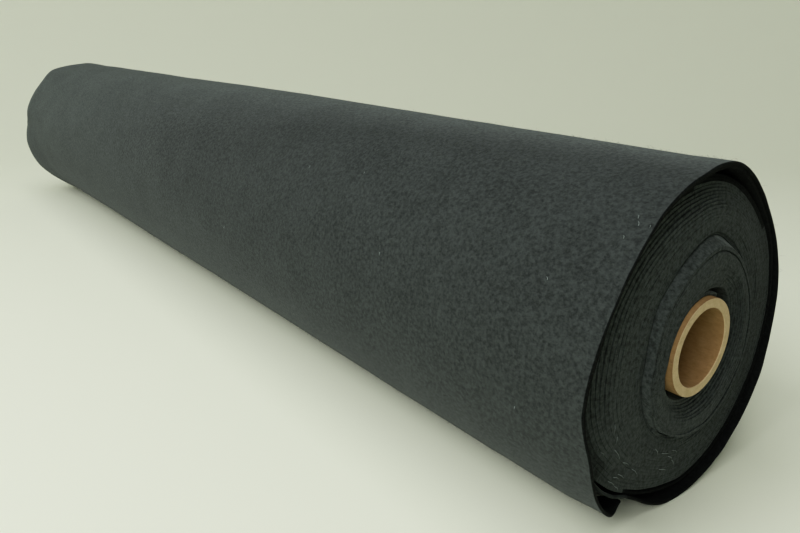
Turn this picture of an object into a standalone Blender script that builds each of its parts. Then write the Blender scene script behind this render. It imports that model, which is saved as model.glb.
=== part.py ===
# Roll of felt wound on a cardboard core, lying on its side.
# Units are metres, apart from the tables, whose columns are in degrees and millimetres.
# X runs along the roll, with +X towards the end that shows its core. -Y is the front and Z is up.
# The origin is under the middle of the roll, on the surface that it lies on.
# Angles go round the roll from 0 at the front, through 90 at the top and 180 at the back,
# to 270 where it rests.

from collections import namedtuple
from math import cos, exp, pi, radians, sin

import bmesh
import bpy

# Driving dimensions
MM = 0.001
ROLL_RADIUS = 0.085
FELT_WIDTH = 0.9144
FELT_THICKNESS = 0.0017
CORE_INNER_RADIUS = 0.01905
CORE_WALL = 0.00475
CORE_LENGTH = FELT_WIDTH
CORE_EDGE_BREAK = 0.0004
CLEARANCE = 0.0003
PRESSED_FLAT = 0.0006
MIDDLE_SWELL = 0.0004

# How far the inner turns and the core have slid out of the near end, and so into the far end
INNER_TURNS_SLIP = 0.0040
INNER_TURNS_SLOPE = 0.0030
INNER_TURNS_CREASE = 0.0010
CORE_SLIP = 0.0060
CORE_SIDE_SHIFT = 0.0017
CORE_LIFT = 0.0017

# Resolution of the meshes
ROUND_STEPS = 96
CORE_STEPS = 48
BODY_STATIONS = (3, 8, 16, 26, 40, 60, 90, 140, 205, 280, 355, 430,
                 500, 560, 620, 680, 735, 785, 830, 865, 890, 902)

# Colours as linear red, green and blue
FELT_COLOUR = (0.030, 0.034, 0.033, 1.0)
CARD_COLOUR = (0.440, 0.290, 0.145, 1.0)

# The near end, round the roll. edge is the radius of the outermost turn at its edge and out is
# how far that edge stands beyond the end face. wall is the thickness of the loose outer turns.
# tight is the radius of the tight turns inside them, and face is where their edges lie.
# gap is the depth of the opening between the loose turns and the tight ones. inner is the radius,
# about the core, of the foot of the inner turns that have slid out.
NearEnd = namedtuple("NearEnd", "angle edge out wall tight face gap inner")
NEAR_END = (
    NearEnd(0, 85.0, 7.1, 3.4, 80.0, 0.0, 1.0, 39.5),
    NearEnd(20, 85.0, 8.2, 3.4, 80.5, 0.0, 1.0, 37.8),
    NearEnd(40, 85.0, 8.3, 3.4, 81.0, 0.0, 1.0, 39.5),
    NearEnd(60, 85.0, 6.3, 3.4, 81.0, 0.0, 1.0, 41.5),
    NearEnd(80, 85.4, 5.4, 3.4, 80.8, -1.0, 1.0, 46.5),
    NearEnd(100, 86.3, 2.2, 3.4, 80.8, -3.0, 1.0, 51.0),
    NearEnd(120, 85.2, -1.6, 3.2, 81.0, -5.2, 1.0, 49.0),
    NearEnd(135, 85.0, -2.7, 3.2, 81.2, -5.3, 1.0, 47.3),
    NearEnd(150, 85.0, -1.9, 3.2, 81.2, -3.0, 1.0, 47.8),
    NearEnd(170, 85.0, 0.2, 3.4, 81.2, -1.2, 1.0, 51.0),
    NearEnd(190, 85.0, 1.6, 3.4, 81.2, -0.4, 1.0, 55.5),
    NearEnd(210, 85.0, 3.3, 3.4, 81.2, 0.5, 1.0, 58.5),
    NearEnd(240, 85.0, 3.6, 3.4, 81.0, 0.7, 1.0, 58.0),
    NearEnd(258, 85.0, 3.4, 3.4, 80.0, -1.3, 1.0, 53.5),
    NearEnd(270, 85.0, 2.2, 3.4, 78.0, -1.5, 1.5, 50.0),
    NearEnd(280, 82.0, 0.0, 3.0, 75.0, -1.5, 2.0, 47.0),
    NearEnd(292, 78.5, -1.0, 2.5, 72.0, -1.5, 3.0, 44.8),
    NearEnd(299, 76.3, 0.0, 1.9, 71.5, -1.0, 7.0, 44.0),
    NearEnd(303, 79.5, 1.5, 1.8, 73.0, -1.0, 20.0, 43.6),
    NearEnd(309, 81.5, 4.2, 1.8, 75.3, 0.0, 30.0, 43.0),
    NearEnd(316, 82.5, 5.8, 1.8, 76.0, 0.0, 32.0, 42.4),
    NearEnd(325, 82.7, 8.2, 1.8, 77.0, 0.0, 24.0, 41.7),
    NearEnd(335, 82.6, 9.4, 1.8, 78.0, 0.0, 9.0, 40.6),
    NearEnd(345, 83.5, 10.0, 2.8, 79.0, 0.0, 2.0, 40.2),
    NearEnd(353, 84.8, 8.6, 3.4, 79.5, 0.0, 1.0, 39.8),
)

# The far end, round the roll: the radius of the outermost turn at its edge. It has sagged
# towards the front, where it was set down on the corner of the roll.
FarEnd = namedtuple("FarEnd", "angle edge")
FAR_END = (
    FarEnd(0, 85.3),
    FarEnd(8, 83.2),
    FarEnd(20, 85.0),
    FarEnd(34, 84.6),
    FarEnd(48, 85.0),
    FarEnd(61, 87.8),
    FarEnd(73, 85.8),
    FarEnd(85, 84.9),
    FarEnd(97, 86.0),
    FarEnd(120, 85.0),
    FarEnd(180, 85.0),
    FarEnd(240, 85.0),
    FarEnd(292, 88.6),
    FarEnd(304, 88.3),
    FarEnd(318, 88.6),
    FarEnd(329, 89.6),
    FarEnd(340, 89.3),
    FarEnd(351, 88.3),
)

# Soft troughs pressed into the outer turns. along is the distance from the near end face,
# half_length and half_width are their reach along and round the roll (millimetres and
# degrees), and lean is how far a trough drifts along the roll with each degree round it.
Trough = namedtuple("Trough", "along angle half_length half_width depth lean")
TROUGHS = (
    Trough(855, 25, 16, 24, 0.7, 1.0),
    Trough(675, 8, 18, 26, 0.8, 2.9),
    Trough(590, 55, 20, 20, 0.5, 2.4),
    Trough(505, 14, 16, 26, 0.7, 2.8),
    Trough(340, 68, 16, 16, 0.5, -0.4),
    Trough(410, 210, 45, 30, 0.6, 1.5),
    Trough(730, 160, 30, 25, 0.6, -1.2),
)

AXIS_HEIGHT = ROLL_RADIUS - PRESSED_FLAT
CORE_OUTER_RADIUS = CORE_INNER_RADIUS + CORE_WALL
BORE_RADIUS = CORE_OUTER_RADIUS + CLEARANCE
NEAR_LIP = max(row.out for row in NEAR_END) * MM
FAR_LIP = -min(row.out for row in NEAR_END) * MM
NEAR_FACE_X = (FELT_WIDTH + FAR_LIP - NEAR_LIP) / 2
FAR_FACE_X = NEAR_FACE_X - FELT_WIDTH
ANGLES = tuple(360 * step / ROUND_STEPS for step in range(ROUND_STEPS))


def clear_scene():
    for item in list(bpy.data.objects):
        bpy.data.objects.remove(item, do_unlink=True)


def make_material(name, colour, roughness):
    material = bpy.data.materials.new(name)
    material.use_nodes = True
    shader = material.node_tree.nodes["Principled BSDF"]
    shader.inputs["Base Color"].default_value = colour
    shader.inputs["Roughness"].default_value = roughness
    shader.inputs["Metallic"].default_value = 0.0
    return material


def ease(share):
    share = min(max(share, 0.0), 1.0)
    return share * share * (3 - 2 * share)


def around(table, column, angle):
    """A column of a table of rows round the roll, read at any angle along a smooth curve."""
    angle %= 360
    count = len(table)
    first = max(index for index in range(count) if table[index].angle <= angle)
    rows = [table[(first + step) % count] for step in (-1, 0, 1, 2)]
    at = [row.angle for row in rows]
    at[0] -= 360 if at[0] > at[1] else 0
    at[2] += 360 if at[2] < at[1] else 0
    at[3] += 360 if at[3] < at[2] else 0
    value = [getattr(row, column) for row in rows]
    run = at[2] - at[1]
    leave = (value[2] - value[0]) / (at[2] - at[0]) * run
    arrive = (value[3] - value[1]) / (at[3] - at[1]) * run
    share = (angle - at[1]) / run
    square = share * share
    cube = square * share
    return (value[1] * (2 * cube - 3 * square + 1) + value[2] * (3 * square - 2 * cube)
            + leave * (cube - 2 * square + share) + arrive * (cube - square))


def pressed(radius, angle):
    """The radius at an angle, cut back to the flat that the roll's own weight presses."""
    downwards = -sin(radians(angle))
    if downwards * radius <= AXIS_HEIGHT:
        return radius
    return AXIS_HEIGHT / downwards


def trough_depth(along, angle):
    depth = 0.0
    for trough in TROUGHS:
        turn = (angle - trough.angle + 180) % 360 - 180
        off = (along - trough.along - trough.lean * turn) / trough.half_length
        depth += trough.depth * exp(-off * off - (turn / trough.half_width) ** 2)
    return depth * MM


def body_radius(along, angle):
    """The radius of the outermost turn at a distance in mm behind the near end face."""
    length = FELT_WIDTH / MM
    radius = ROLL_RADIUS + MIDDLE_SWELL * sin(pi * min(max(along / length, 0), 1))
    near_share = 1 - ease(along / 60)
    far_share = 1 - ease((length - along) / 110)
    near_edge = around(NEAR_END, "edge", angle) * MM
    far_edge = around(FAR_END, "edge", angle) * MM
    radius += (near_edge - ROLL_RADIUS) * near_share + (far_edge - ROLL_RADIUS) * far_share
    return pressed(radius - trough_depth(along, angle), angle)


def point(x, radius, angle, off_centre=0.0):
    """A point by its place along the roll, its radius and its angle.

    off_centre is 1 where the radius is measured from the core's own axis, and 0 where it is
    measured from the roll's.
    """
    turn = radians(angle)
    y = CORE_SIDE_SHIFT * off_centre - radius * cos(turn)
    z = AXIS_HEIGHT + CORE_LIFT * off_centre + radius * sin(turn)
    return (x, y, z)


def near_end_rings():
    """The rings of the near end, from the bore outwards to the outermost turn's edge."""
    rings = [[] for _ in range(9)]
    for angle in ANGLES:
        row = NearEnd(angle, *(around(NEAR_END, column, angle) * MM for column in NearEnd._fields[1:]))
        edge = pressed(row.edge, angle)
        lip_x = NEAR_FACE_X + row.out
        tight_x = NEAR_FACE_X + row.face
        gap_x = tight_x - row.gap
        inner_x = NEAR_FACE_X + INNER_TURNS_SLIP
        foot = row.inner + INNER_TURNS_CREASE
        rings[0].append(point(inner_x, BORE_RADIUS, angle, 1))
        rings[1].append(point(inner_x, row.inner - INNER_TURNS_SLOPE, angle, 1))
        rings[2].append(point(NEAR_FACE_X - INNER_TURNS_CREASE, row.inner, angle, 1))
        rings[3].append(point(NEAR_FACE_X, foot, angle, 1))
        rings[4].append(point(tight_x, row.tight, angle))
        rings[5].append(point(gap_x, row.tight + CLEARANCE, angle))
        rings[6].append(point(gap_x, edge - row.wall, angle))
        rings[7].append(point(lip_x, edge - row.wall, angle))
        rings[8].append(point(lip_x, edge, angle))
    return rings


def body_rings():
    rings = []
    for along in BODY_STATIONS:
        ring = []
        for angle in ANGLES:
            lip = around(NEAR_END, "out", angle)
            settled = 1 - ease(along / 60)
            x = NEAR_FACE_X + (lip * settled - along) * MM
            ring.append(point(x, body_radius(along, angle), angle))
        rings.append(ring)
    return rings


def far_end_rings():
    """The rings of the far end, from the outermost turn's edge in to the bore.

    Each turn is as wide as the felt, so what stands out at the near end is short here.
    """
    rings = [[] for _ in range(6)]
    for angle in ANGLES:
        lip_x = FAR_FACE_X + around(NEAR_END, "out", angle) * MM
        edge = pressed(around(FAR_END, "edge", angle) * MM, angle)
        tight = edge - 2 * FELT_THICKNESS
        inner = around(NEAR_END, "inner", angle) * MM
        inner_x = FAR_FACE_X + INNER_TURNS_SLIP
        rings[0].append(point(lip_x, edge, angle))
        rings[1].append(point(lip_x, tight, angle))
        rings[2].append(point(FAR_FACE_X, tight - CLEARANCE, angle))
        rings[3].append(point(FAR_FACE_X, inner, angle, 1))
        rings[4].append(point(inner_x, inner - INNER_TURNS_SLOPE, angle, 1))
        rings[5].append(point(inner_x, BORE_RADIUS, angle, 1))
    return rings


def closed_loop_of_rings(name, rings, material, sharp_angle):
    """One closed solid from rings that follow each other and close on the first."""
    mesh = bpy.data.meshes.new(name)
    build = bmesh.new()
    loops = [[build.verts.new(place) for place in ring] for ring in rings]
    steps = len(rings[0])
    for index, loop in enumerate(loops):
        after = loops[(index + 1) % len(loops)]
        for step in range(steps):
            beside = (step + 1) % steps
            build.faces.new((loop[step], loop[beside], after[beside], after[step]))
    bmesh.ops.recalc_face_normals(build, faces=build.faces)
    bmesh.ops.triangulate(build, faces=build.faces)
    build.to_mesh(mesh)
    build.free()
    mesh.shade_smooth()
    mesh.set_sharp_from_angle(angle=radians(sharp_angle))
    mesh.materials.append(material)
    solid = bpy.data.objects.new(name, mesh)
    bpy.context.scene.collection.objects.link(solid)
    return solid


def make_felt_roll():
    felt = make_material("felt", FELT_COLOUR, 0.95)
    rings = near_end_rings() + body_rings() + far_end_rings()
    return closed_loop_of_rings("felt_roll", rings, felt, 40)


def make_core():
    """The cardboard tube, with the corners of its two cut ends just broken."""
    card = make_material("cardboard", CARD_COLOUR, 0.85)
    near = NEAR_FACE_X + CORE_SLIP
    far = near - CORE_LENGTH
    outer = CORE_OUTER_RADIUS
    inner = CORE_INNER_RADIUS
    corner = CORE_EDGE_BREAK
    profile = (
        (near - corner, inner),
        (near, inner + corner),
        (near, outer - corner),
        (near - corner, outer),
        (far + corner, outer),
        (far, outer - corner),
        (far, inner + corner),
        (far + corner, inner),
    )
    rings = []
    for x, radius in profile:
        rings.append([point(x, radius, 360 * step / CORE_STEPS, 1) for step in range(CORE_STEPS)])
    return closed_loop_of_rings("core", rings, card, 30)


def main():
    clear_scene()
    make_felt_roll()
    make_core()


main()
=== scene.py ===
# %% [markdown]
# # A roll of dark felt on its cardboard core
#
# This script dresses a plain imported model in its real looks. The model gives the places and
# sizes; everything made here is laid over it. X runs along the roll, with +X at the end that
# shows its core, -Y is the front, and Z is up. Angles go round the roll from 0 at the front,
# through 90 at the top and 180 at the back, to 270 where it rests on the table.

# %% Load the frame
from collections import namedtuple
from math import cos, pi, radians, sin

import bpy
import numpy as np
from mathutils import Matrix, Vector
from mathutils.bvhtree import BVHTree


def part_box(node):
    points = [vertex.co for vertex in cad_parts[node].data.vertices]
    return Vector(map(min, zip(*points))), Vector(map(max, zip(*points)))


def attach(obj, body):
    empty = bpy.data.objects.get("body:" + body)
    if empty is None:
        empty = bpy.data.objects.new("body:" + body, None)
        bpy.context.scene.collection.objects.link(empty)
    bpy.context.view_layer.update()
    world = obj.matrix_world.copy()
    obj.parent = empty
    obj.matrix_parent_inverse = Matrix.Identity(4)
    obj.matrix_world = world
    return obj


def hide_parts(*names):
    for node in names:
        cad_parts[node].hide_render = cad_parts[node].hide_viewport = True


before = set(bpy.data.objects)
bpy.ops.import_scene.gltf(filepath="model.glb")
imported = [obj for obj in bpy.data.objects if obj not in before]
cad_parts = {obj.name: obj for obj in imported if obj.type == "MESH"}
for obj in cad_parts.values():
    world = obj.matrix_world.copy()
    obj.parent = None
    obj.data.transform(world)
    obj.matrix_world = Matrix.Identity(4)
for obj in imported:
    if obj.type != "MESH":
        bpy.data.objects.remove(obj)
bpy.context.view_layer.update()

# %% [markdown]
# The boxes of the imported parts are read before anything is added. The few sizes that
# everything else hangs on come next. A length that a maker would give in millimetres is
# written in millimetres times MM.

MM = 0.001
ROLL_RADIUS = 85 * MM
FELT_WIDTH = 914.4 * MM
FELT_THICKNESS = 1.7 * MM
PRESSED_FLAT = 0.6 * MM
CORE_SLIP = 6 * MM
CORE_WALL = 4.75 * MM

roll_low, roll_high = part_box("felt_roll")
core_low, core_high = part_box("core")
near_face = core_high.x - CORE_SLIP
axis_height = ROLL_RADIUS - PRESSED_FLAT
core_y = (core_low.y + core_high.y) / 2
core_z = (core_low.z + core_high.z) / 2
core_outer = (core_high.y - core_low.y) / 2
core_inner = core_outer - CORE_WALL
core_side = core_y
core_lift = core_z - axis_height
print("near face at x", round(near_face, 4), "core radius", round(core_outer, 4))

# %% [markdown]
# The camera stands close to the end of the roll and looks along it, a little downwards, so
# that the far end is about a fifth as large in the picture as the near one. A wide lens on a
# full-frame sensor gives that strong perspective. Its place was found from the outlines of
# the two ends, and is written in roll radii from the middle of the near end.

# %% The camera
LENS = 31.365
CAMERA_FORWARD = 1.684260
CAMERA_ASIDE = 3.313037
CAMERA_UP = 2.660980
VIEW_ALONG = -0.78163
VIEW_ACROSS = 0.62375
VIEW_DOWN = 0.34032

camera_data = bpy.data.cameras.new("camera")
camera_data.lens = LENS
camera_data.sensor_width = 36
camera = bpy.data.objects.new("camera", camera_data)
bpy.context.scene.collection.objects.link(camera)
bpy.context.scene.camera = camera
camera.location = (
    near_face + CAMERA_FORWARD * ROLL_RADIUS,
    -CAMERA_ASIDE * ROLL_RADIUS,
    CAMERA_UP * ROLL_RADIUS - PRESSED_FLAT,
)
looking = Vector((VIEW_ALONG * cos(VIEW_DOWN), VIEW_ACROSS * cos(VIEW_DOWN), -sin(VIEW_DOWN)))
camera.rotation_mode = "QUATERNION"
camera.rotation_quaternion = looking.to_track_quat("-Z", "Y")
print("camera at", [round(value, 3) for value in camera.location])

# %% [markdown]
# Shapes are kept as short tables: a few rows round the roll, read along a smooth
# curve. A cubic through the rows with slopes taken from the neighbours never overshoots far,
# so a table of twenty rows is enough for an edge half a metre long.

# %% Helpers for tables and smooth steps


def ease(share):
    """A smooth step from 0 to 1."""
    share = np.clip(share, 0.0, 1.0)
    return share * share * (3 - 2 * share)


def read_table(places, values, at):
    """Values at any place along a smooth curve through a table's rows.

    values may have further axes, which are read side by side.
    """
    places = np.asarray(places, float)
    values = np.asarray(values, float)
    at = np.clip(np.asarray(at, float), places[0], places[-1])
    spare = (1,) * (values.ndim - 1)
    slope = np.empty_like(values)
    wide = (places[2:] - places[:-2]).reshape(-1, *spare)
    slope[1:-1] = (values[2:] - values[:-2]) / wide
    slope[0] = (values[1] - values[0]) / (places[1] - places[0])
    slope[-1] = (values[-1] - values[-2]) / (places[-1] - places[-2])
    row = np.clip(np.searchsorted(places, at, side="right") - 1, 0, len(places) - 2)
    run = places[row + 1] - places[row]
    share = np.reshape((at - places[row]) / run, at.shape + spare)
    run = np.reshape(run, at.shape + spare)
    square = share * share
    cube = square * share
    return (
        values[row] * (2 * cube - 3 * square + 1)
        + values[row + 1] * (3 * square - 2 * cube)
        + slope[row] * run * (cube - 2 * square + share)
        + slope[row + 1] * run * (cube - square)
    )


def read_round(angles, values, at):
    """The same for a table that closes on itself after a full turn."""
    angles = np.asarray(angles, float)
    values = np.asarray(values, float)
    angles = np.concatenate([angles[-2:] - 360, angles, angles[:2] + 360])
    values = np.concatenate([values[-2:], values, values[:2]])
    return read_table(angles, values, np.asarray(at, float) % 360)


# %% [markdown]
# Cloth is never quite even. A soft noise, made by blending random values from the corners of
# a grid of cells, gives small differences that flow into each other. The values come from a
# seeded generator, so the same roll is made each time.

# %% Helper for soft unevenness
NOISE_CELLS = 61


def soft_noise(places, cell, seed):
    """Values between -1 and 1 that change smoothly over cells of a given size in metres."""
    values = np.random.default_rng(seed).uniform(-1, 1, (NOISE_CELLS,) * 3)
    places = np.asarray(places, float) / cell
    low = np.floor(places).astype(int)
    share = ease(places - low)
    total = 0
    for corner in np.ndindex(2, 2, 2):
        corner = np.array(corner)
        weight = np.prod(np.where(corner == 1, share, 1 - share), axis=-1)
        at = (low + corner) % NOISE_CELLS
        total = total + weight * values[at[..., 0], at[..., 1], at[..., 2]]
    return total


# %% [markdown]
# The felt is one long sheet wound on itself, and its cut edges make the two ends of the roll.
# The sheet's free end lies at the lower front, just out of sight, and the sheet is followed
# from there: upwards over the front, over the top, down the back and under the roll. The two
# outermost turns are loose. Their edge stands up to 10 mm beyond the others, and near the free
# end the outermost turn bellies out and leaves a dark pocket.
#
# Each row of this table is a place along the sheet, in degrees from the free end, with the
# radius of the sheet's outer side at its edge and how far the edge stands out.

# %% The two loose turns at the near end
FREE_END = 301
LooseEdge = namedtuple("LooseEdge", "wound radius out")
LOOSE_EDGE = (
    LooseEdge(0, 77.3, 0.4),
    LooseEdge(1.5, 79.2, 1.0),
    LooseEdge(4, 82.2, 2.4),
    LooseEdge(8, 83.6, 4.0),
    LooseEdge(15, 83.8, 5.6),
    LooseEdge(24, 84.0, 7.8),
    LooseEdge(34, 83.8, 9.2),
    LooseEdge(44, 84.0, 9.9),
    LooseEdge(52, 84.8, 8.6),
    LooseEdge(59, 85.0, 7.1),
    LooseEdge(79, 85.0, 8.2),
    LooseEdge(99, 85.0, 8.3),
    LooseEdge(119, 85.0, 6.3),
    LooseEdge(139, 84.9, 5.2),
    LooseEdge(159, 85.6, 2.2),
    LooseEdge(179, 85.3, -1.2),
    LooseEdge(194, 85.3, -2.3),
    LooseEdge(209, 85.4, -1.4),
    LooseEdge(229, 85.5, 0.7),
    LooseEdge(249, 85.5, 2.1),
    LooseEdge(269, 85.4, 3.8),
    LooseEdge(299, 85.5, 4.2),
    LooseEdge(317, 85.0, 3.4),
    LooseEdge(329, 84.0, 2.2),
    LooseEdge(339, 80.8, 0.6),
    LooseEdge(348, 76.6, 0.2),
    LooseEdge(356, 74.8, 0.2),
    LooseEdge(361, 75.3, 0.3),
    LooseEdge(366, 76.1, 0.4),
    LooseEdge(374, 77.0, 0.2),
    LooseEdge(382, 77.3, 0.2),
    LooseEdge(394, 79.0, 1.5),
    LooseEdge(404, 81.0, 4.5),
    LooseEdge(412, 82.6, 6.6),
    LooseEdge(419, 83.2, 6.2),
    LooseEdge(439, 83.2, 7.2),
    LooseEdge(459, 83.2, 7.0),
    LooseEdge(479, 83.2, 5.0),
    LooseEdge(499, 83.5, 4.0),
    LooseEdge(519, 84.2, 1.2),
    LooseEdge(539, 83.3, -2.4),
    LooseEdge(554, 83.2, -3.4),
    LooseEdge(569, 83.2, -2.6),
    LooseEdge(589, 83.0, -1.4),
    LooseEdge(609, 83.0, -0.8),
    LooseEdge(629, 83.0, 0.2),
    LooseEdge(659, 82.8, 0.4),
    LooseEdge(677, 81.6, -0.6),
    LooseEdge(689, 78.8, -2.0),
    LooseEdge(699, 76.2, -2.4),
    LooseEdge(708, 74.4, -2.4),
    LooseEdge(715, 73.3, -1.8),
    LooseEdge(720, 72.9, -1.2),
)
LOOSE_TURNS = 2

# %% [markdown]
# Inside the loose turns lie the tight ones. Their ends make the flat face of the roll, which
# sinks a little towards the top and the back. The innermost turns have slid out by 4 mm
# together with the core. The first of them shows its flat side as a lit wall round the middle
# of the face. It leans a little inwards, and a crease runs round its foot.
#
# The rows go round the face. Each has the radius of the outermost tight turn and how far it
# stands out, the radius of the wall's foot and how far the wall leans in, the radius of the
# hole that the turns leave for the core, and how far the turns sink next to the core. At the
# back the hole is wider than the core, and leaves a dark gap.

# %% The tight turns at the near end
TightEdge = namedtuple("TightEdge", "angle radius face step lean hole sink")
TIGHT_EDGE = (
    TightEdge(0, 80.0, -4.0, 33.8, -0.8, 24.0, -0.6),
    TightEdge(20, 80.8, -4.2, 35.2, 0.0, 24.0, -0.6),
    TightEdge(40, 81.0, -3.8, 39.0, 2.0, 24.0, -0.5),
    TightEdge(60, 80.4, -4.0, 41.3, 2.5, 24.0, -0.3),
    TightEdge(80, 79.4, -4.4, 46.0, 3.6, 24.4, 0.0),
    TightEdge(100, 79.6, -4.8, 51.3, 4.5, 25.8, 0.6),
    TightEdge(120, 80.0, -5.0, 50.6, 3.6, 28.0, 1.2),
    TightEdge(135, 80.4, -4.6, 50.0, 3.6, 30.2, 2.4),
    TightEdge(150, 81.0, -3.4, 50.2, 3.6, 32.0, 3.2),
    TightEdge(170, 81.2, -2.0, 52.2, 3.2, 32.8, 3.8),
    TightEdge(190, 81.2, -1.2, 55.0, 2.4, 32.0, 4.0),
    TightEdge(210, 81.2, -0.4, 57.0, 1.5, 30.0, 4.0),
    TightEdge(240, 81.0, -0.2, 57.0, 1.3, 29.5, 4.2),
    TightEdge(258, 79.9, -0.8, 52.6, 1.0, 29.2, 4.2),
    TightEdge(270, 76.4, -1.5, 50.0, 1.0, 28.0, 3.6),
    TightEdge(282, 73.8, -1.4, 46.9, 0.8, 27.4, 3.2),
    TightEdge(296, 72.2, -1.2, 43.6, 0.6, 26.9, 2.6),
    TightEdge(304, 72.9, -1.0, 42.0, 0.4, 26.7, 2.0),
    TightEdge(315, 73.8, -1.0, 40.0, 0.0, 26.4, 1.4),
    TightEdge(325, 74.9, -1.6, 38.2, -0.4, 26.0, 0.8),
    TightEdge(335, 77.6, -2.2, 36.8, -0.8, 25.3, 0.4),
    TightEdge(345, 78.8, -3.2, 35.6, -1.0, 24.8, 0.0),
    TightEdge(353, 79.4, -3.8, 34.6, -1.0, 24.3, -0.4),
)
STILL_TURNS = 19
SLID_TURNS = 14
TIGHT_TURNS = STILL_TURNS + SLID_TURNS
RIM_TURNS = 12
STEP_HEIGHT = 4 * MM
STEP_CREASE = 1.2 * MM
LEAN_DEPTH = 6 * MM


def tight_edge(column, angle):
    angles = [row.angle for row in TIGHT_EDGE]
    values = [getattr(row, column) * MM for row in TIGHT_EDGE]
    return read_round(angles, values, angle)


# %% [markdown]
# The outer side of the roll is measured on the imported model, by rays cast from outside
# towards its axis. The model has 96 flat facets round it; reading its corners along a smooth
# curve gives the same shape, sagging and shallow troughs included, without the facets.

# %% Measure the roll's outer side
MEASURE_STEP = 3.75
MEASURE_RADIUS = 0.15
END_BLEND = 60 * MM
EDGE_BLEND = 24 * MM
felt_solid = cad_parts["felt_roll"]
felt_tree = BVHTree.FromPolygons(
    [vertex.co for vertex in felt_solid.data.vertices],
    [polygon.vertices for polygon in felt_solid.data.polygons],
)
measure_angles = np.arange(0, 360, MEASURE_STEP)
measure_along = np.concatenate([np.arange(60, 910, 10), [912, 913.9]]) * MM
loose_wound = [row.wound for row in LOOSE_EDGE]


def loose_edge(column, wound):
    return read_table(loose_wound, [getattr(row, column) * MM for row in LOOSE_EDGE], wound)


def measured_radius(x, angle):
    turn = radians(angle)
    outwards = Vector((0, -cos(turn), sin(turn)))
    start = Vector((x, 0, axis_height)) + outwards * MEASURE_RADIUS
    hit = felt_tree.ray_cast(start, -outwards)
    return MEASURE_RADIUS - hit[3] if hit[0] is not None else ROLL_RADIUS


def measure_body():
    rows = []
    for along in measure_along:
        row = []
        for angle in measure_angles:
            out = float(loose_edge("out", (angle - FREE_END) % 360))
            row.append(measured_radius(near_face + out - along, angle))
        rows.append(row)
    return np.array(rows)


body_radii = measure_body()
print("outer radius from", round(body_radii.min(), 4), "to", round(body_radii.max(), 4))


def body_radius(along, angle):
    """The roll's outer radius, for every place along and every angle, as a table of both."""
    by_along = read_table(measure_along, body_radii, along)
    return read_round(measure_angles, by_along.T, angle).T


# %% [markdown]
# A sheet of felt is built from sections across it, one after another along the winding. Each
# section is a closed loop of points: along the outer side, round the near edge, back along
# the inner side, and round the far edge. Joining loop to loop gives one closed skin. This
# helper makes the mesh, lays the sheet's own coordinates on it in metres, so that a texture
# can follow the felt round the roll, and closes the two cut ends.

# %% Helper: a skin over sections


def loft(name, sections, sheet_places, materials, slots):
    """One closed skin over closed loops of points, (sections, points, 3).

    slots holds the place in materials for each face, (sections - 1, points).
    """
    count, around, _ = sections.shape
    corner = np.arange(count * around).reshape(count, around)
    beside = np.roll(corner, -1, axis=1)
    faces = np.stack([corner[:-1], beside[:-1], beside[1:], corner[1:]], axis=-1)
    caps = [corner[0][::-1].tolist(), corner[-1].tolist()]
    mesh = bpy.data.meshes.new(name)
    mesh.from_pydata(
        sections.reshape(-1, 3).tolist(), [], faces.reshape(-1, 4).tolist() + caps
    )
    for material in materials:
        mesh.materials.append(material)
    mesh.polygons.foreach_set("material_index", slots.ravel().tolist() + [1, 1])
    layer = mesh.uv_layers.new(name="sheet")
    loops = np.empty(len(mesh.loops), int)
    mesh.loops.foreach_get("vertex_index", loops)
    layer.data.foreach_set("uv", sheet_places.reshape(-1, 2)[loops].ravel())
    mesh.shade_smooth()
    mesh.update()
    piece = bpy.data.objects.new(name, mesh)
    bpy.context.scene.collection.objects.link(piece)
    mesh.calc_loop_triangles()
    print(name, "triangles", len(mesh.loop_triangles))
    return piece


def dress(piece, slot, *replaced):
    """The piece moves with the roll, and the imported parts that it replaces are hidden. slot is
    not used.
    """
    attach(piece, "root")
    if replaced:
        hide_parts(*replaced)


# %% [markdown]
# Felt is a mat of short fibres pressed together at random. Close up its colour is made of
# dark and lighter streaks a few tenths of a millimetre wide and some millimetres long, lying
# in all directions. Noise that is stretched one way gives streaks, so three such layers,
# each turned another way, are added up. The same streaks raise the
# surface a little, broad cloudy patches change its tone, and sheen stands for the fine loose
# hairs that catch the light at a low angle. The colour itself is also brightened where the
# surface is seen at a low angle, most on its upper side: a painted sheen.

# %% Helper for shader nodes


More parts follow.
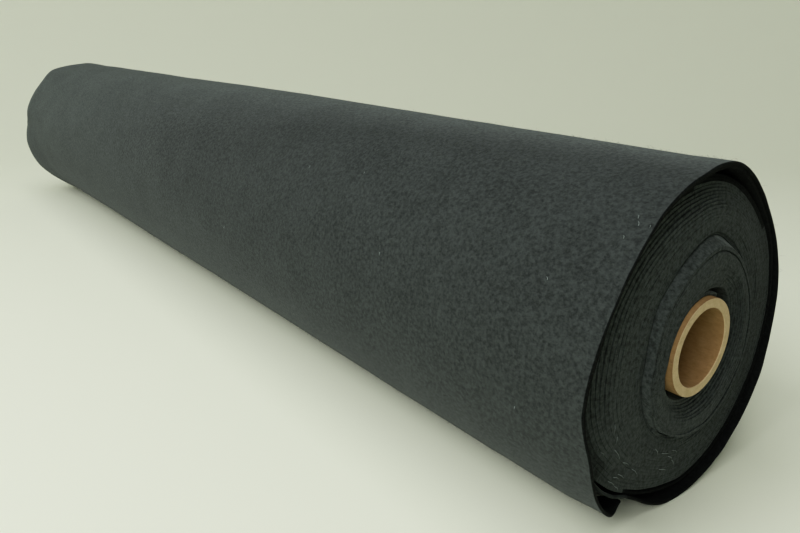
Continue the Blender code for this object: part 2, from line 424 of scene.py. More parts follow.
class Shader:
    """A new material and the few kinds of node that the finishes here are made of."""

    def __init__(self, name):
        self.material = bpy.data.materials.new(name)
        self.material.use_nodes = True
        self.nodes = self.material.node_tree.nodes
        self.links = self.material.node_tree.links
        self.surface = self.nodes["Principled BSDF"]

    def add(self, kind, **settings):
        node = self.nodes.new(kind)
        for key, value in settings.items():
            setattr(node, key, value)
        return node

    def fill(self, socket, value):
        if hasattr(value, "is_output"):
            self.links.new(value, socket)
        else:
            socket.default_value = value

    def place(self, source, scale=(1, 1, 1), turn=(0, 0, 0)):
        node = self.add("ShaderNodeMapping")
        self.links.new(source, node.inputs["Vector"])
        node.inputs["Scale"].default_value = scale
        node.inputs["Rotation"].default_value = turn
        return node.outputs["Vector"]

    def noise(self, place, scale, detail=3.0, roughness=0.55, bend=0.0):
        node = self.add("ShaderNodeTexNoise")
        self.links.new(place, node.inputs["Vector"])
        node.inputs["Scale"].default_value = scale
        node.inputs["Detail"].default_value = detail
        node.inputs["Roughness"].default_value = roughness
        node.inputs["Distortion"].default_value = bend
        return node.outputs["Fac"]

    def math(self, operation, first, second=0.0, third=0.0):
        node = self.add("ShaderNodeMath", operation=operation)
        for socket, value in zip(node.inputs, (first, second, third)):
            self.fill(socket, value)
        return node.outputs["Value"]

    def spread(self, value, low, high, to_low=0.0, to_high=1.0):
        node = self.add("ShaderNodeMapRange")
        for name, given in (
            ("Value", value),
            ("From Min", low),
            ("From Max", high),
            ("To Min", to_low),
            ("To Max", to_high),
        ):
            self.fill(node.inputs[name], given)
        return node.outputs["Result"]

    def blend(self, share, first, second):
        node = self.add("ShaderNodeMix", data_type="RGBA")
        colours = [socket for socket in node.inputs if socket.type == "RGBA"]
        self.fill(node.inputs["Factor"], share)
        self.fill(colours[0], first)
        self.fill(colours[1], second)
        return [socket for socket in node.outputs if socket.type == "RGBA"][0]

    def brighten(self, colour, gain):
        node = self.add("ShaderNodeVectorMath", operation="SCALE")
        self.fill(node.inputs[0], colour)
        self.fill(node.inputs["Scale"], gain)
        return node.outputs["Vector"]

    def bump(self, height, depth, strength=1.0):
        node = self.add("ShaderNodeBump")
        self.links.new(height, node.inputs["Height"])
        node.inputs["Distance"].default_value = depth
        node.inputs["Strength"].default_value = strength
        self.links.new(node.outputs["Normal"], self.surface.inputs["Normal"])


# %% [markdown]
# The felt's five finishes share one recipe. Its flat sides are streaked in the plane of the
# sheet, so they are drawn in the sheet's own coordinates. A cut edge shows the fibres from
# every side, so its noise is solid, and towards the back of the roll it is darkened: painted
# shade. The other three are copies with painted light and shade: a darker one for turns in the
# lip's shade, a lighter one for the lit wall of the step, and a near-black one for the inside
# of the loose turns and deep gaps.

# %% The felt finishes
FELT_TONE = 0.032
EDGE_TONE = 0.041
HALF_SHADE_TONE = 0.026
LIT_TONE = 0.058
# Painted shade on the cut edge towards the back of the roll: the share of its colour that is
# left.
EDGE_BACK_SHADE = 0.58
# Gain of the painted sheen on the felt's colour.
PAINTED_SHEEN_GAIN = 0.95
BACK_SHADE_FROM = 10 * MM
BACK_SHADE_TO = 70 * MM
SHADE_TONE = 0.009
GREEN_CAST = (0.88, 1.03, 0.98)


def felt_tone(brightness):
    """The felt's charcoal grey at a given brightness, a little on the green side."""
    return tuple(brightness * part for part in GREEN_CAST) + (1,)


def felt_finish(name, tone, sheen, depth, streaked, back_shade_share=1.0):
    shader = Shader(name)
    sheet = shader.add("ShaderNodeUVMap", uv_map="sheet").outputs["UV"]
    solid = shader.add("ShaderNodeTexCoord").outputs["Object"]
    streaks = 0.0
    for turn in (0.3, 1.35, 2.4):
        place = shader.place(sheet, scale=(1, 1.8, 1), turn=(0, 0, turn))
        layer = shader.noise(place, 760, detail=3, roughness=0.6, bend=0.5)
        streaks = shader.math("ADD", streaks, layer)
    streaks = shader.spread(streaks, 1.2, 1.8)
    clumps = shader.noise(shader.place(solid), 520, detail=3, roughness=0.6)
    clumps = shader.spread(clumps, 0.35, 0.65)
    clouds = shader.noise(shader.place(solid), 34, detail=4, roughness=0.6)
    clouds = shader.spread(clouds, 0.3, 0.7)
    turns = shader.noise(shader.place(sheet, scale=(0, 1, 0)), 28, detail=3)
    turns = shader.spread(turns, 0.3, 0.7)
    share = shader.math("MULTIPLY_ADD", streaks, streaked, shader.math("MULTIPLY", clumps, 0.52))
    other = turns if streaked < 0.25 else clouds
    share = shader.math("MULTIPLY_ADD", other, 0.15, share)
    share = shader.spread(share, 0.12, 0.50 + streaked)
    colour = shader.blend(share, felt_tone(tone * 0.58), felt_tone(tone * 1.60))
    # Painted sheen: the colour is brightened where the surface is seen at a low angle, most on
    # its upper side, in place of light caught by loose fibres.
    if sheen > 0:
        facing = shader.add("ShaderNodeLayerWeight").outputs["Facing"]
        facing = shader.spread(facing, 0.62, 0.84)
        upright = shader.add("ShaderNodeSeparateXYZ")
        outwards = shader.add("ShaderNodeNewGeometry").outputs["Normal"]
        shader.links.new(outwards, upright.inputs["Vector"])
        sheen_on_upper_side = shader.spread(upright.outputs["Z"], -0.25, 0.45, 0.1, 1.0)
        lift = shader.math("MULTIPLY", facing, sheen_on_upper_side)
        colour = shader.brighten(colour, shader.math("MULTIPLY_ADD", lift, PAINTED_SHEEN_GAIN, 1.0))
    # Painted shade: the colour is darkened towards the back of the roll (+Y), where the near
    # face is turned from the light. Only the cut edge takes a share below 1.
    parts = shader.add("ShaderNodeSeparateXYZ")
    shader.links.new(solid, parts.inputs["Vector"])
    painted_back_shade = shader.spread(parts.outputs["Y"], BACK_SHADE_FROM, BACK_SHADE_TO, 1.0, back_shade_share)
    colour = shader.brighten(colour, painted_back_shade)
    shader.fill(shader.surface.inputs["Base Color"], colour)
    shader.surface.inputs["Roughness"].default_value = 0.95
    shader.surface.inputs["Specular IOR Level"].default_value = 0.15
    shader.surface.inputs["Sheen Weight"].default_value = sheen
    shader.surface.inputs["Sheen Roughness"].default_value = 0.55
    shader.surface.inputs["Sheen Tint"].default_value = (0.86, 0.95, 0.93, 1)
    height = shader.math("MULTIPLY_ADD", clumps, 0.6, streaks)
    shader.bump(height, depth)
    return shader.material


felt = felt_finish("felt side", FELT_TONE, 0.09, 0.08 * MM, 0.28)
# The cut edge, with painted shade towards the back of the roll.
felt_cut = felt_finish("felt cut edge", EDGE_TONE, 0.05, 0.12 * MM, 0.20, EDGE_BACK_SHADE)
# Painted shade: a darker copy of the cut-edge finish, for turns in the lip's shade and part of
# the outermost turn's edge.
felt_half_shade = felt_finish("felt in half painted shade", HALF_SHADE_TONE, 0.03, 0.12 * MM, 0.20)
# Painted light: a lighter copy of the cut-edge finish for the wall of the step, which faces the
# light.
felt_lit = felt_finish("felt wall of the step in painted light", LIT_TONE, 0.09, 0.10 * MM, 0.20)
# Painted shade: a near-black copy for the inside and the edges of the loose turns and for deep
# gaps.
felt_shade = felt_finish("felt in painted shade", SHADE_TONE, 0.0, 0.25 * MM, 0.42)

# %% [markdown]
# The outermost turn is what most of the roll shows. It starts at the free end, goes once
# round, slips under its own free end with a drop of one thickness, and runs on inside the
# pocket. Its sections stand 1.1 degrees apart. Along the roll the points are closer together
# near the camera than far from it.

# %% The outermost turn of felt
OUTER_WOUND = 420
OUTER_STEP = 1.1
SIDE_ROWS = 190
ROW_CROWDING = 1.7
CORNER = 0.45 * MM
TURN_AIR = 0.08 * MM
UNDERLAP = 90
SLACK_CELL = 42 * MM
SLACK_HEIGHT = 0.55 * MM
SLACK_FROM = 300 * MM
# Along this stretch the outermost turn's edge takes the lighter of the two painted shades.
LIT_EDGE = (357, 402)


def spread_rows(count, crowding):
    """Distances behind the near edge, closer together near it."""
    return (np.linspace(0, 1, count) ** crowding) * (FELT_WIDTH - 2 * CORNER) + CORNER


SWELL_TOP = 101
SWELL_FRONT = 312
SWELL_REACH = 34
Swell = namedtuple("Swell", "along top front")
SWELL = (
    Swell(0, 0.0, 0.2),
    Swell(60, 0.3, 0.5),
    Swell(140, 0.4, 0.6),
    Swell(230, 0.7, 0.3),
    Swell(360, 1.2, 0.0),
    Swell(560, 0.3, 0.0),
    Swell(760, -0.4, 0.0),
    Swell(914.4, -1.0, 0.0),
)


def swell(along, wound):
    """The small soft unevenness of the outermost turn along its top and its lower front."""
    places = [row.along * MM for row in SWELL]
    total = 0
    for column, centre in (("top", SWELL_TOP), ("front", SWELL_FRONT)):
        height = read_table(places, [getattr(row, column) * MM for row in SWELL], along)
        turned = (wound + FREE_END - centre + 180) % 360 - 180
        total = total + height[:, None] * np.exp(-((turned / SWELL_REACH) ** 2))
    return total


def wound_radius(along, wound):
    """The outer side of the outermost turn, at distances behind its edge and places wound."""
    plain = body_radius(np.maximum(along, END_BLEND), (wound + FREE_END) % 360)
    under = ease((wound - (360 - UNDERLAP)) / UNDERLAP) * (FELT_THICKNESS + TURN_AIR)
    at_edge = loose_edge("radius", wound)
    settled = ease(along / EDGE_BLEND)[:, None]
    return (plain + swell(along, wound) - under) * settled + at_edge * (1 - settled)


def place_on_roll(x, radius, angle):
    turn = np.radians(angle)
    height = np.maximum(axis_height + radius * np.sin(turn), 0.02 * MM)
    x, y, height = np.broadcast_arrays(x, -radius * np.cos(turn), height)
    return np.stack([x, y, height], axis=-1)


def make_outer_turn():
    wound = np.arange(0, OUTER_WOUND + OUTER_STEP, OUTER_STEP)
    angle = (wound + FREE_END) % 360
    outer_rows = spread_rows(SIDE_ROWS, ROW_CROWDING)
    inner_rows = np.array([1, 3, 7, 14, 25, 45, 90, 300, 600, 850, 905, 912]) * MM
    lip = near_face + loose_edge("out", wound)
    edge_spots = np.stack([lip, np.sin(np.radians(wound)), np.cos(np.radians(wound))], -1)
    lip = lip + 0.25 * MM * soft_noise(edge_spots * (1, 0.08, 0.08), 9 * MM, 11)
    outer = wound_radius(outer_rows, wound)
    inner = wound_radius(inner_rows, wound) - FELT_THICKNESS
    middle_near = wound_radius(np.array([0.0]), wound) - FELT_THICKNESS / 2
    middle_far = wound_radius(np.array([FELT_WIDTH]), wound) - FELT_THICKNESS / 2
    outer_x = lip - outer_rows[:, None]
    inner_x = lip - inner_rows[:, None]
    far_x = lip - FELT_WIDTH
    skin = place_on_roll(outer_x, outer, angle)
    bumps = 0.10 * soft_noise(skin, 28 * MM, 12) + 0.05 * soft_noise(skin, 9 * MM, 13)
    slack = soft_noise(skin * (0.6, 1, 1), SLACK_CELL, 14)
    slack = slack * SLACK_HEIGHT * ease((outer_rows - SLACK_FROM) / SLACK_FROM)[:, None]
    slack = slack * ease((FELT_WIDTH - outer_rows) / (60 * MM))[:, None]
    skin = place_on_roll(outer_x, outer + bumps * MM + slack, angle)
    quarter = FELT_THICKNESS * 0.3
    near_edge = [
        place_on_roll(lip - 0.12 * MM, middle_near + quarter, angle),
        place_on_roll(lip, middle_near, angle),
        place_on_roll(lip - 0.12 * MM, middle_near - quarter, angle),
    ]
    far_edge = [
        place_on_roll(far_x + 0.12 * MM, middle_far - quarter, angle),
        place_on_roll(far_x, middle_far, angle),
        place_on_roll(far_x + 0.12 * MM, middle_far + quarter, angle),
    ]
    loops = np.concatenate(
        [
            skin[::-1],
            *near_edge,
            place_on_roll(inner_x, inner, angle),
            *far_edge,
        ]
    )
    sections = loops.transpose(1, 0, 2)
    arc = np.radians(wound) * ROLL_RADIUS
    places = np.stack(np.broadcast_arrays(sections[..., 0], arc[:, None]), axis=-1)
    slots = np.zeros((len(wound) - 1, sections.shape[1]), int)
    # Painted shade: the inner side and the edges of the outermost turn take the near-black
    # finish.
    slots[:, SIDE_ROWS - 1:] = 1
    # Along LIT_EDGE the edge takes the darker copy of the cut edge instead: a lighter painted
    # shade.
    in_light = (wound[1:] > LIT_EDGE[0]) & (wound[1:] < LIT_EDGE[1])
    slots[np.ix_(in_light, range(SIDE_ROWS - 1, SIDE_ROWS + 3))] = 2
    return loft("felt_outer_turn", sections, places, [felt, felt_shade, felt_half_shade], slots)


outer_turn = make_outer_turn()
dress(outer_turn, "felt", "felt_roll")

# %% [markdown]
# The rest of the sheet carries on from there: once more round as the second loose turn, and
# then in tight turns to the core. Only its edges show, at the two ends, so each end is a band
# of felt that follows the whole winding and reaches some way in. First comes the place of
# each turn: the tight ones share out the room between the loose turns, the wall and the core.

# %% Where each tight turn lies
END_DEPTH = 40 * MM
TURN_DRIFT = 0.14
FIRST_TURN = 0.75


def ring(radius, angle, off_y, off_z):
    """Points (y, z) round a centre that lies off the roll's axis."""
    turn = np.radians(angle)
    return np.stack([off_y - radius * np.cos(turn), off_z + radius * np.sin(turn)], axis=-1)


def share_out(inner, outer, share):
    share = np.clip(share, 0, 1)[..., None]
    return inner * share + outer * (1 - share)


def tight_place(turns_in, angle):
    """(y, z) of a turn's middle, its own room, and how far it stands out, at the near end."""
    outside = ring(tight_edge("radius", angle), angle, 0, axis_height)
    foot = ring(tight_edge("step", angle), angle, core_side, core_z)
    hole = tight_edge("hole", angle)
    hugging = ease((turns_in - (TIGHT_TURNS - FIRST_TURN - 0.1)) / 0.2)
    hole = hole * (1 - hugging) + (core_outer + 1.0 * MM) * hugging
    hole = ring(hole, angle, core_side, core_z)
    spots = np.concatenate([outside, (turns_in * 10 * MM)[..., None]], axis=-1)
    drift = TURN_DRIFT * soft_noise(spots, 14 * MM, 41)
    still = (turns_in + 0.5 + drift) / STILL_TURNS
    slid = (turns_in + 0.5 - STILL_TURNS + drift * 0.6) / SLID_TURNS
    is_slid = turns_in >= STILL_TURNS
    middle = np.where(
        is_slid[..., None], share_out(hole, foot, slid), share_out(foot, outside, still)
    )
    still_room = np.linalg.norm(outside - foot, axis=-1) / STILL_TURNS
    slid_room = np.linalg.norm(foot - hole, axis=-1) / SLID_TURNS
    room = np.where(is_slid, slid_room, still_room)
    return middle, np.maximum(room, 0.5 * MM), tight_out(turns_in, angle)


def tight_out(turns_in, angle):
    """How far a tight turn's edge stands out of the near face."""
    from_wall = turns_in - STILL_TURNS
    flat = tight_edge("face", angle) * ease(1 - turns_in / RIM_TURNS)
    crease = -STEP_CREASE * np.exp(-(((from_wall + 0.4) / 0.5) ** 2))
    sunk = tight_edge("sink", angle) * ease((turns_in - STILL_TURNS - 5) / (SLID_TURNS - 5))
    slot = 1.0 * MM * np.exp(-(((from_wall - 1.5) / 0.45) ** 2))
    risen = ease((from_wall + 0.06) / 0.12) * (STEP_HEIGHT - sunk - slot)
    return np.where(from_wall < 0.06, flat + crease, 0) + risen


# %% [markdown]
# The band is then laid through those places, at the near end in two lengths. Every
# turn stands a little further in or out than the next, as real felt does when it wanders on
# the winding machine, and its cut edge is rounded by an amount that changes along it, so that
# some turns show a dark line between them and others don't.

# %% The wound edges of the inner turns
TURN_WANDER = 0.26 * MM
EDGE_FUZZ = 0.12 * MM
FILL = 0.995
PROFILE = (
    (END_DEPTH, 1.0),
    (LEAN_DEPTH, 1.0),
    (0.32 * MM, 1.0),
    (0.06 * MM, 0.80),
    (0.0, 0.0),
    (0.06 * MM, -0.80),
    (0.32 * MM, -1.0),
    (LEAN_DEPTH, -1.0),
    (END_DEPTH, -1.0),
)


def winding(first, last, station):
    """Places along the winding, a given distance apart, in degrees from the free end."""
    wound = [float(first)]
    while wound[-1] < last:
        turns_in = max(wound[-1] / 360 - LOOSE_TURNS, 0)
        radius = 80 * MM - turns_in * FELT_THICKNESS
        wound.append(wound[-1] + np.degrees(station / radius))
    return np.array(wound)


def turn_place(wound):
    """Middle (y, z), room, and how far the edge stands out, for loose and tight turns."""
    angle = (wound + FREE_END) % 360
    loose_wound_here = np.minimum(wound, 360 * LOOSE_TURNS)
    loose_radius = loose_edge("radius", loose_wound_here) - FELT_THICKNESS / 2
    loose_middle = ring(loose_radius, angle, 0, axis_height)
    tight_middle, room, tight_stand = tight_place(
        np.maximum(wound / 360 - LOOSE_TURNS, 0), angle
    )
    settled = ease((wound - 360 * LOOSE_TURNS + 10) / 20)
    middle = share_out(tight_middle, loose_middle, settled)
    stand = loose_edge("out", loose_wound_here) * (1 - settled) + tight_stand * settled
    return middle, np.where(settled > 0.5, room, FELT_THICKNESS), stand


def band(name, first, last, station, x_sign, seed):
    """The wound edges at one end, as one continuous band of felt."""
    wound = winding(first, last, station)
    angle = (wound + FREE_END) % 360
    middle, room, out = turn_place(wound)
    turns_in = wound / 360 - LOOSE_TURNS
    tight = turns_in > 0
    spots = np.concatenate([middle, (turns_in * 10 * MM)[:, None]], axis=-1)
    wander = TURN_WANDER * soft_noise(spots, 20 * MM, seed)
    wander = wander + EDGE_FUZZ * soft_noise(spots, 3.5 * MM, seed + 1)
    out = out + wander * np.where(tight, 1, 0.4)
    face = near_face if x_sign > 0 else near_face - FELT_WIDTH
    edge = face + out
    half = np.where(tight, np.minimum(room * FILL, 3.0 * MM), FELT_THICKNESS - TURN_AIR) / 2
    groove = 0.14 + 0.30 * soft_noise(spots, 15 * MM, seed + 2)
    lean = tight_edge("lean", angle) * np.clip(1 - (turns_in - STILL_TURNS) / 9, 0, 1)
    lean = np.where(turns_in >= STILL_TURNS, lean, 0) * (1 if x_sign > 0 else 0)
    outwards = np.stack([-np.cos(np.radians(angle)), np.sin(np.radians(angle))], axis=-1)
    loops = []
    for depth, side in PROFILE:
        near_edge = depth <= 0.5 * MM
        x = edge - x_sign * depth * (groove if near_edge else 1)
        leaning = lean * np.clip(1 - depth / LEAN_DEPTH, 0, 1)
        place = middle + outwards * (side * half - leaning)[:, None]
        height = np.maximum(place[:, 1], 0.02 * MM)
        loops.append(np.stack([x, place[:, 0], height], axis=-1))
    sections = np.stack(loops if x_sign > 0 else loops[::-1], axis=1)
    arc = np.concatenate([[0], np.cumsum(np.linalg.norm(np.diff(middle, axis=0), axis=1))])
    places = np.stack(np.broadcast_arrays(sections[..., 0], arc[:, None]), axis=-1)
    slots = np.zeros((len(wound) - 1, len(PROFILE)), int)
    # Painted shade: the edges of the loose turns take the near-black finish.
    slots[~tight[1:]] = 1
    # Painted shade: the first tight turns behind the lip at the front and top take the darker
    # copy of the cut edge, where the lip shades them.
    behind_lip = tight & (turns_in < 4) & ((angle > 322) | (angle < 62))
    slots[behind_lip[1:]] = 2
    # Painted shade: the first tight turns at the top, in the gap behind the loose turns, take
    # the near-black finish.
    in_the_dark = tight & (turns_in < 2.4) & (angle > 62) & (angle < 146)
    slots[in_the_dark[1:]] = 1
    if x_sign > 0:
        # Painted light: the outer side of the wall of the step takes the lighter copy.
        wall = (turns_in[1:] > STILL_TURNS - 0.05) & (turns_in[1:] < STILL_TURNS + 1.1)
        slots[np.ix_(wall, [0, 1])] = 3
    return loft(name, sections, places, [felt_cut, felt_shade, felt_half_shade, felt_lit], slots)


NEAR_BREAK = 360 * (LOOSE_TURNS + STILL_TURNS - 1)
LAST_WOUND = 360 * (LOOSE_TURNS + TIGHT_TURNS) - 180
near_turns = (
    band("felt_turns_near", OUTER_WOUND, NEAR_BREAK, 0.95 * MM, 1, 21),
    band("felt_turns_slid", NEAR_BREAK, LAST_WOUND, 0.6 * MM, 1, 21),
)
far_turns = band("felt_turns_far", OUTER_WOUND, LAST_WOUND, 2.0 * MM, -1, 31)
for piece in (*near_turns, far_turns):
    dress(piece, "felt")

# %% [markdown]
# Felt is hairy. Thin fibres stand out of its sides and its cut edges, thickest near the camera
# where they can be seen one by one, and a few light ones lie on the lower part of the near
# face and here and there on the side. Each fibre is a closed tube with three corners round
# it, bent once at its middle, and all of one kind are one mesh. The rows place the light
# fibres by their two ends.

# %% The loose hairs
LightFibre = namedtuple("LightFibre", "angle radius to_angle to_radius")
LIGHT_FIBRES = (
    LightFibre(326, 59.7, 318, 60.0),
    LightFibre(304, 60.5, 298, 62.2),
    LightFibre(313, 65.5, 307, 65.6),
    LightFibre(315, 68.0, 311, 67.0),
    LightFibre(317, 70.9, 312, 70.5),
    LightFibre(279, 61.8, 273, 64.3),
    LightFibre(288, 49.9, 284, 52.9),
    LightFibre(280, 53.1, 273, 55.2),
    LightFibre(270, 54.5, 265, 58.1),
    LightFibre(273, 56.7, 269, 59.6),
    LightFibre(269, 60.4, 267, 63.9),
    LightFibre(333, 66.9, 330, 66.1),
    LightFibre(311, 70.9, 307, 71.6),
    LightFibre(314, 60.0, 308, 59.4),
    LightFibre(339, 55.4, 334, 57.3),
    LightFibre(331, 55.8, 328, 58.1),
)
Lint = namedtuple("Lint", "along angle")
LINT = (
    Lint(-5, 53),
    Lint(0, 53),
    Lint(2, 55),
    Lint(2, 48),
    Lint(24, 31),
    Lint(27, 352),
    Lint(167, 46),
    Lint(126, 20),
    Lint(218, 42),
    Lint(300, 3),
)
SIDE_HAIRS = 11500
FACE_HAIRS = 2600
SIDE_HAIR_LENGTH = 3.2 * MM
FACE_HAIR_LENGTH = 2.2 * MM
HAIR_THICK = 0.05 * MM
FIBRE_THICK = 0.24 * MM
HAIR_CROWDING = 0.08
HAIR_TRIANGLE = np.radians([0, 120, 240])


def hair_finish(name, tone):
    shader = Shader(name)
    shader.surface.inputs["Base Color"].default_value = felt_tone(tone)
    shader.surface.inputs["Roughness"].default_value = 0.9
    shader.surface.inputs["Specular IOR Level"].default_value = 0.2
    return shader.material


def unit(vectors):
    return vectors / np.maximum(np.linalg.norm(vectors, axis=-1, keepdims=True), 1e-9)


def make_hairs(name, roots, middles, tips, thick, material):
    """One mesh of thin closed tubes, each through three places."""
    along = unit(tips - roots)
    side = unit(np.cross(along, (0.31, 0.52, 0.80)))
    other = np.cross(along, side)
    points = []
    for place, share in ((roots, 1.0), (middles, 0.85), (tips, 0.4)):
        for turn in HAIR_TRIANGLE:
            points.append(place + thick / 2 * share * (cos(turn) * side + sin(turn) * other))
    points = np.stack(points, axis=1)
    points[..., 2] = np.maximum(points[..., 2], 0.05 * MM)
    pattern = [(2, 1, 0), (6, 7, 8)]
    for base in (0, 3):
        for k in range(3):
            beside = (k + 1) % 3
            pattern.append((base + k, base + beside, base + 3 + beside, base + 3 + k))
    faces = [
        tuple(9 * hair + corner for corner in face)
        for hair in range(len(roots))
        for face in pattern
    ]
    mesh = bpy.data.meshes.new(name)
    mesh.from_pydata(points.reshape(-1, 3).tolist(), [], faces)
    mesh.materials.append(material)
    mesh.shade_smooth()
    piece = bpy.data.objects.new(name, mesh)
    bpy.context.scene.collection.objects.link(piece)
    print(name, "fibres", len(roots))
    return piece


def face_values(mesh, name, width):
    values = np.empty(len(mesh.polygons) * width)
    mesh.polygons.foreach_get(name, values)
    return values.reshape(-1, width)


def hair_roots(piece, count, random, only_face):
    """Places and outward directions picked at random on a felt piece."""
    centre = face_values(piece.data, "center", 3)
    outwards = face_values(piece.data, "normal", 3)
    weight = face_values(piece.data, "area", 1)[:, 0]
    weight = weight / (HAIR_CROWDING + np.abs(near_face - centre[:, 0]))
    if only_face:
        weight = weight * (outwards[:, 0] > 0.25) * (centre[:, 0] > near_face - 8 * MM)
    else:
        weight = weight * (face_values(piece.data, "material_index", 1)[:, 0] == 0)
    picked = random.choice(len(weight), count, p=weight / weight.sum())
    return centre[picked], outwards[picked]


def grow_hairs(name, places, outwards, longest, lift, thick, material, random):
    """Hairs that start in the felt and bend down towards its surface."""
    count = len(places)
    loose = random.normal(size=(count, 3))
    flat = unit(loose - outwards * (loose * outwards).sum(axis=1, keepdims=True))
    curl = unit(np.cross(outwards, flat)) * random.uniform(-0.7, 0.7, (count, 1))
    length = random.uniform(0.35, 1.0, (count, 1)) ** 1.5 * longest
    rise = random.uniform(0.05, lift, (count, 1))
    places = places + flat * random.uniform(0, 1.5 * MM, (count, 1))
    roots = places - outwards * 0.12 * MM
    middles = roots + unit(flat + outwards * rise * 1.6) * length / 2
    tips = middles + unit(flat + curl + outwards * rise * 0.5) * length / 2
    return make_hairs(name, roots, middles, tips, thick, material)


def add_hairs():
    random = np.random.default_rng(77)
    dark = hair_finish("felt hair", 0.058)
    light = hair_finish("light hair", 0.34)
    places, outwards = hair_roots(outer_turn, SIDE_HAIRS, random, False)
    side = grow_hairs(
        "side_hairs", places, outwards, SIDE_HAIR_LENGTH, 1.1, HAIR_THICK, dark, random
    )
    near = [hair_roots(piece, FACE_HAIRS // 2, random, True) for piece in near_turns]
    places = np.concatenate([pair[0] for pair in near])
    outwards = np.concatenate([pair[1] for pair in near])
    face = grow_hairs(
        "face_hairs", places, outwards, FACE_HAIR_LENGTH, 0.5, HAIR_THICK, dark, random
    )
    ends = []
    for fibre in LIGHT_FIBRES:
        for angle, radius in ((fibre.angle, fibre.radius), (fibre.to_angle, fibre.to_radius)):
            y, z = ring(radius * MM, angle, 0, axis_height)
            ends.append((near_face + 0.5 * MM, y, z))
    for speck in LINT:
        wound = np.array([(speck.angle - FREE_END) % 360])
        radius = wound_radius(np.array([speck.along * MM]), wound)[0, 0] + 0.3 * MM
        spot = place_on_roll(near_face - speck.along * MM, radius, speck.angle)
        reach = random.uniform(0.3, 0.7, 3) * (-1, 1, 1) * MM
        ends += [tuple(spot - reach), tuple(spot + reach)]
    ends = np.array(ends).reshape(-1, 2, 3)
    middles = ends.mean(axis=1) + random.uniform(0.1, 0.4, (len(ends), 3)) * MM
    fibres = make_hairs("light_fibres", ends[:, 0], middles, ends[:, 1], FIBRE_THICK, light)
    for piece in (side, face, fibres):
        dress(piece, "felt")


add_hairs()

# %% [markdown]
# The core is a tube of brown paper, wound in a spiral and glued. Its cut end shows the plies
# as fine rings, paler than the sides. It is turned as a profile: bore, cut end and outer side,
# with the corners broken and the end a little dented.

# %% The cardboard finish


def card_finish(name, dark, light):
    shader = Shader(name)
    solid = shader.add("ShaderNodeTexCoord").outputs["Object"]
    fibres = shader.noise(shader.place(solid, scale=(0.4, 1, 1)), 900, detail=4, roughness=0.7)
    flecks = shader.noise(shader.place(solid), 240, detail=3)
    tone = shader.math("MULTIPLY_ADD", fibres, 0.6, shader.math("MULTIPLY", flecks, 0.5))
    tone = shader.spread(tone, 0.3, 0.8)
    shader.fill(shader.surface.inputs["Base Color"], shader.blend(tone, dark, light))
    shader.surface.inputs["Roughness"].default_value = 0.85
    shader.surface.inputs["Specular IOR Level"].default_value = 0.3
    shader.bump(fibres, 0.08 * MM)
    return shader.material


card_side = card_finish("cardboard side", (0.22, 0.13, 0.05, 1), (0.34, 0.22, 0.10, 1))
card_cut = card_finish("cardboard cut end", (0.42, 0.31, 0.17, 1), (0.62, 0.50, 0.32, 1))

# %% [markdown]
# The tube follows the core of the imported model. Its outline runs from the far end through the
# bore, over the rings of plies on the cut end, and back along the outer side.

# %% The cardboard core
CORE_STEPS = 180
CORE_OVER = 0.5 * MM
PLIES = 9


def make_core():
    near = core_high.x + CORE_OVER
    far = core_low.x
    profile = [(far, core_inner + 0.2 * MM), (far + 0.3 * MM, core_inner)]
    profile += [(near - 60 * MM, core_inner), (near - 20 * MM, core_inner)]
    profile += [(near - 6 * MM, core_inner), (near - 0.35 * MM, core_inner)]
    for ply in range(PLIES * 2 + 1):
        share = ply / (PLIES * 2)
        radius = core_inner + 0.2 * MM + share * (CORE_WALL - 0.4 * MM)
        profile.append((near - (0.10 * MM if ply % 2 == 0 else 0), radius))
    profile += [(near - 0.25 * MM, core_outer - 0.3 * MM)]
    profile += [(near - 0.9 * MM, core_outer), (near - 3 * MM, core_outer)]
    profile += [(near - 8 * MM, core_outer), (far + 0.3 * MM, core_outer)]
    profile += [(far, core_outer - 0.2 * MM)]
    angle = np.linspace(2 * pi, 0, CORE_STEPS + 1)
    x = np.array([place[0] for place in profile])
    radius = np.array([place[1] for place in profile])
    x, turn = np.meshgrid(x, angle)
    radius = np.broadcast_to(radius, x.shape)
    y = core_side - radius * np.cos(turn)
    z = core_z + radius * np.sin(turn)
    sections = np.stack([x, y, z], axis=-1)
    sheet = np.stack([x, turn * core_outer], axis=-1)
    slots = np.zeros((CORE_STEPS, len(profile)), int)
    slots[:, 5:5 + PLIES * 2 + 2] = 1
    return loft("core_tube", sections, sheet, [card_side, card_cut], slots)


core_tube = make_core()
dress(core_tube, "cardboard", "core")

# %% [markdown]
# The roll stands in a plain round sweep: a pale floor that curves up into a wall on every
# side, so that no corner and no edge shows from anywhere. The wall is nearer behind the roll
# than behind the camera. The key light is a large soft panel at the camera's left, above it.
# A weak light from all round fills the shadows.

# %% The sweep and the lights
SWEEP_FLAT = 1.8
SWEEP_CURVE = 1.2
SWEEP_TOP = 1.5
SWEEP_BEFORE = 1.2
SWEEP_SIDES = 96


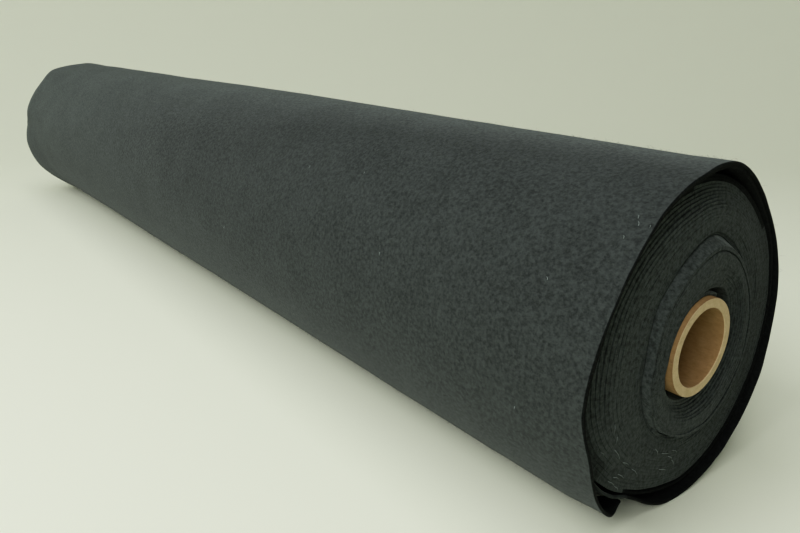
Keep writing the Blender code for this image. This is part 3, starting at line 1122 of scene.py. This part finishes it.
def make_sweep():
    shader = Shader("sweep")
    shader.surface.inputs["Base Color"].default_value = (0.773, 0.81, 0.665, 1)
    shader.surface.inputs["Roughness"].default_value = 0.9
    middle = Vector((-VIEW_ALONG, -VIEW_ACROSS, 0)).normalized() * SWEEP_BEFORE
    profile = [(0.6, 0.0), (1.2, 0.0)]
    for step in range(17):
        turn = step / 16 * pi / 2
        profile.append((SWEEP_FLAT + SWEEP_CURVE * sin(turn), SWEEP_CURVE * (1 - cos(turn))))
    profile.append((SWEEP_FLAT + SWEEP_CURVE, SWEEP_TOP))
    places = []
    for distance, height in profile:
        for side in range(SWEEP_SIDES):
            turn = side / SWEEP_SIDES * 2 * pi
            spot = middle + Vector((cos(turn), sin(turn), 0)) * distance
            places.append((spot.x, spot.y, height))
    faces = [tuple(range(SWEEP_SIDES))]
    for row in range(len(profile) - 1):
        for side in range(SWEEP_SIDES):
            here = row * SWEEP_SIDES + side
            beside = row * SWEEP_SIDES + (side + 1) % SWEEP_SIDES
            faces.append((here, here + SWEEP_SIDES, beside + SWEEP_SIDES, beside))
    mesh = bpy.data.meshes.new("sweep")
    mesh.from_pydata(places, [], faces)
    mesh.materials.append(shader.material)
    mesh.shade_smooth()
    sweep = bpy.data.objects.new("sweep", mesh)
    bpy.context.scene.collection.objects.link(sweep)


def panel(name, place, target, size, power, colour=(1, 1, 1)):
    light = bpy.data.lights.new(name, "AREA")
    light.shape = "RECTANGLE"
    light.size, light.size_y = size
    light.energy = power
    light.color = colour
    lamp = bpy.data.objects.new(name, light)
    lamp.location = place
    aim = Vector(target) - Vector(place)
    lamp.rotation_mode = "QUATERNION"
    lamp.rotation_quaternion = aim.to_track_quat("-Z", "Y")
    bpy.context.scene.collection.objects.link(lamp)


make_sweep()
panel("overhead", (0.4, -0.4, 2.0), (0.4, -0.4, 0), (1.6, 1.6), 15.0)
panel("near_left", (0.05, -1.6, 1.6), (0, 0, 0.1), (1.2, 1.2), 23.5)
panel("low_left", (-0.6, -2.2, 0.8), (0, 0, 0.05), (3.0, 1.4), 1.0)
panel("behind_camera", (1.1, -1.4, 1.1), (0.4, 0, 0.08), (0.7, 0.7), 9.6)
panel("right", (1.5, 1.0, 1.8), (0.2, 0, 0.1), (1.4, 1.4), 1.5, (1, 0.97, 0.86))
world = bpy.data.worlds.new("room")
world.use_nodes = True
world.node_tree.nodes["Background"].inputs["Color"].default_value = (0.93, 0.95, 0.92, 1)
world.node_tree.nodes["Background"].inputs["Strength"].default_value = 0.01
bpy.context.scene.world = world

# %% [markdown]
# A camera doesn't show brightness as it is: it lifts the light greys and sinks the darkest
# ones. The same is done here by a curve, given as pairs of display levels from 0 to 255. The
# curve works on the light itself, so each level is turned into its share of full light first.

# %% The display curve
DISPLAY_CURVE = (
    (22, 13),
    (48, 42),
    (66, 63),
    (84, 84),
    (120, 129),
    (165, 180),
    (190, 203),
    (210, 219),
    (228, 231),
)


def light_of(level):
    share = level / 255
    if share <= 0.04045:
        return share / 12.92
    return ((share + 0.055) / 1.055) ** 2.4


view = bpy.context.scene.view_settings
view.view_transform = "Standard"
view.use_curve_mapping = True
for level_in, level_out in DISPLAY_CURVE:
    view.curve_mapping.curves[3].points.new(light_of(level_in), light_of(level_out))
view.curve_mapping.update()
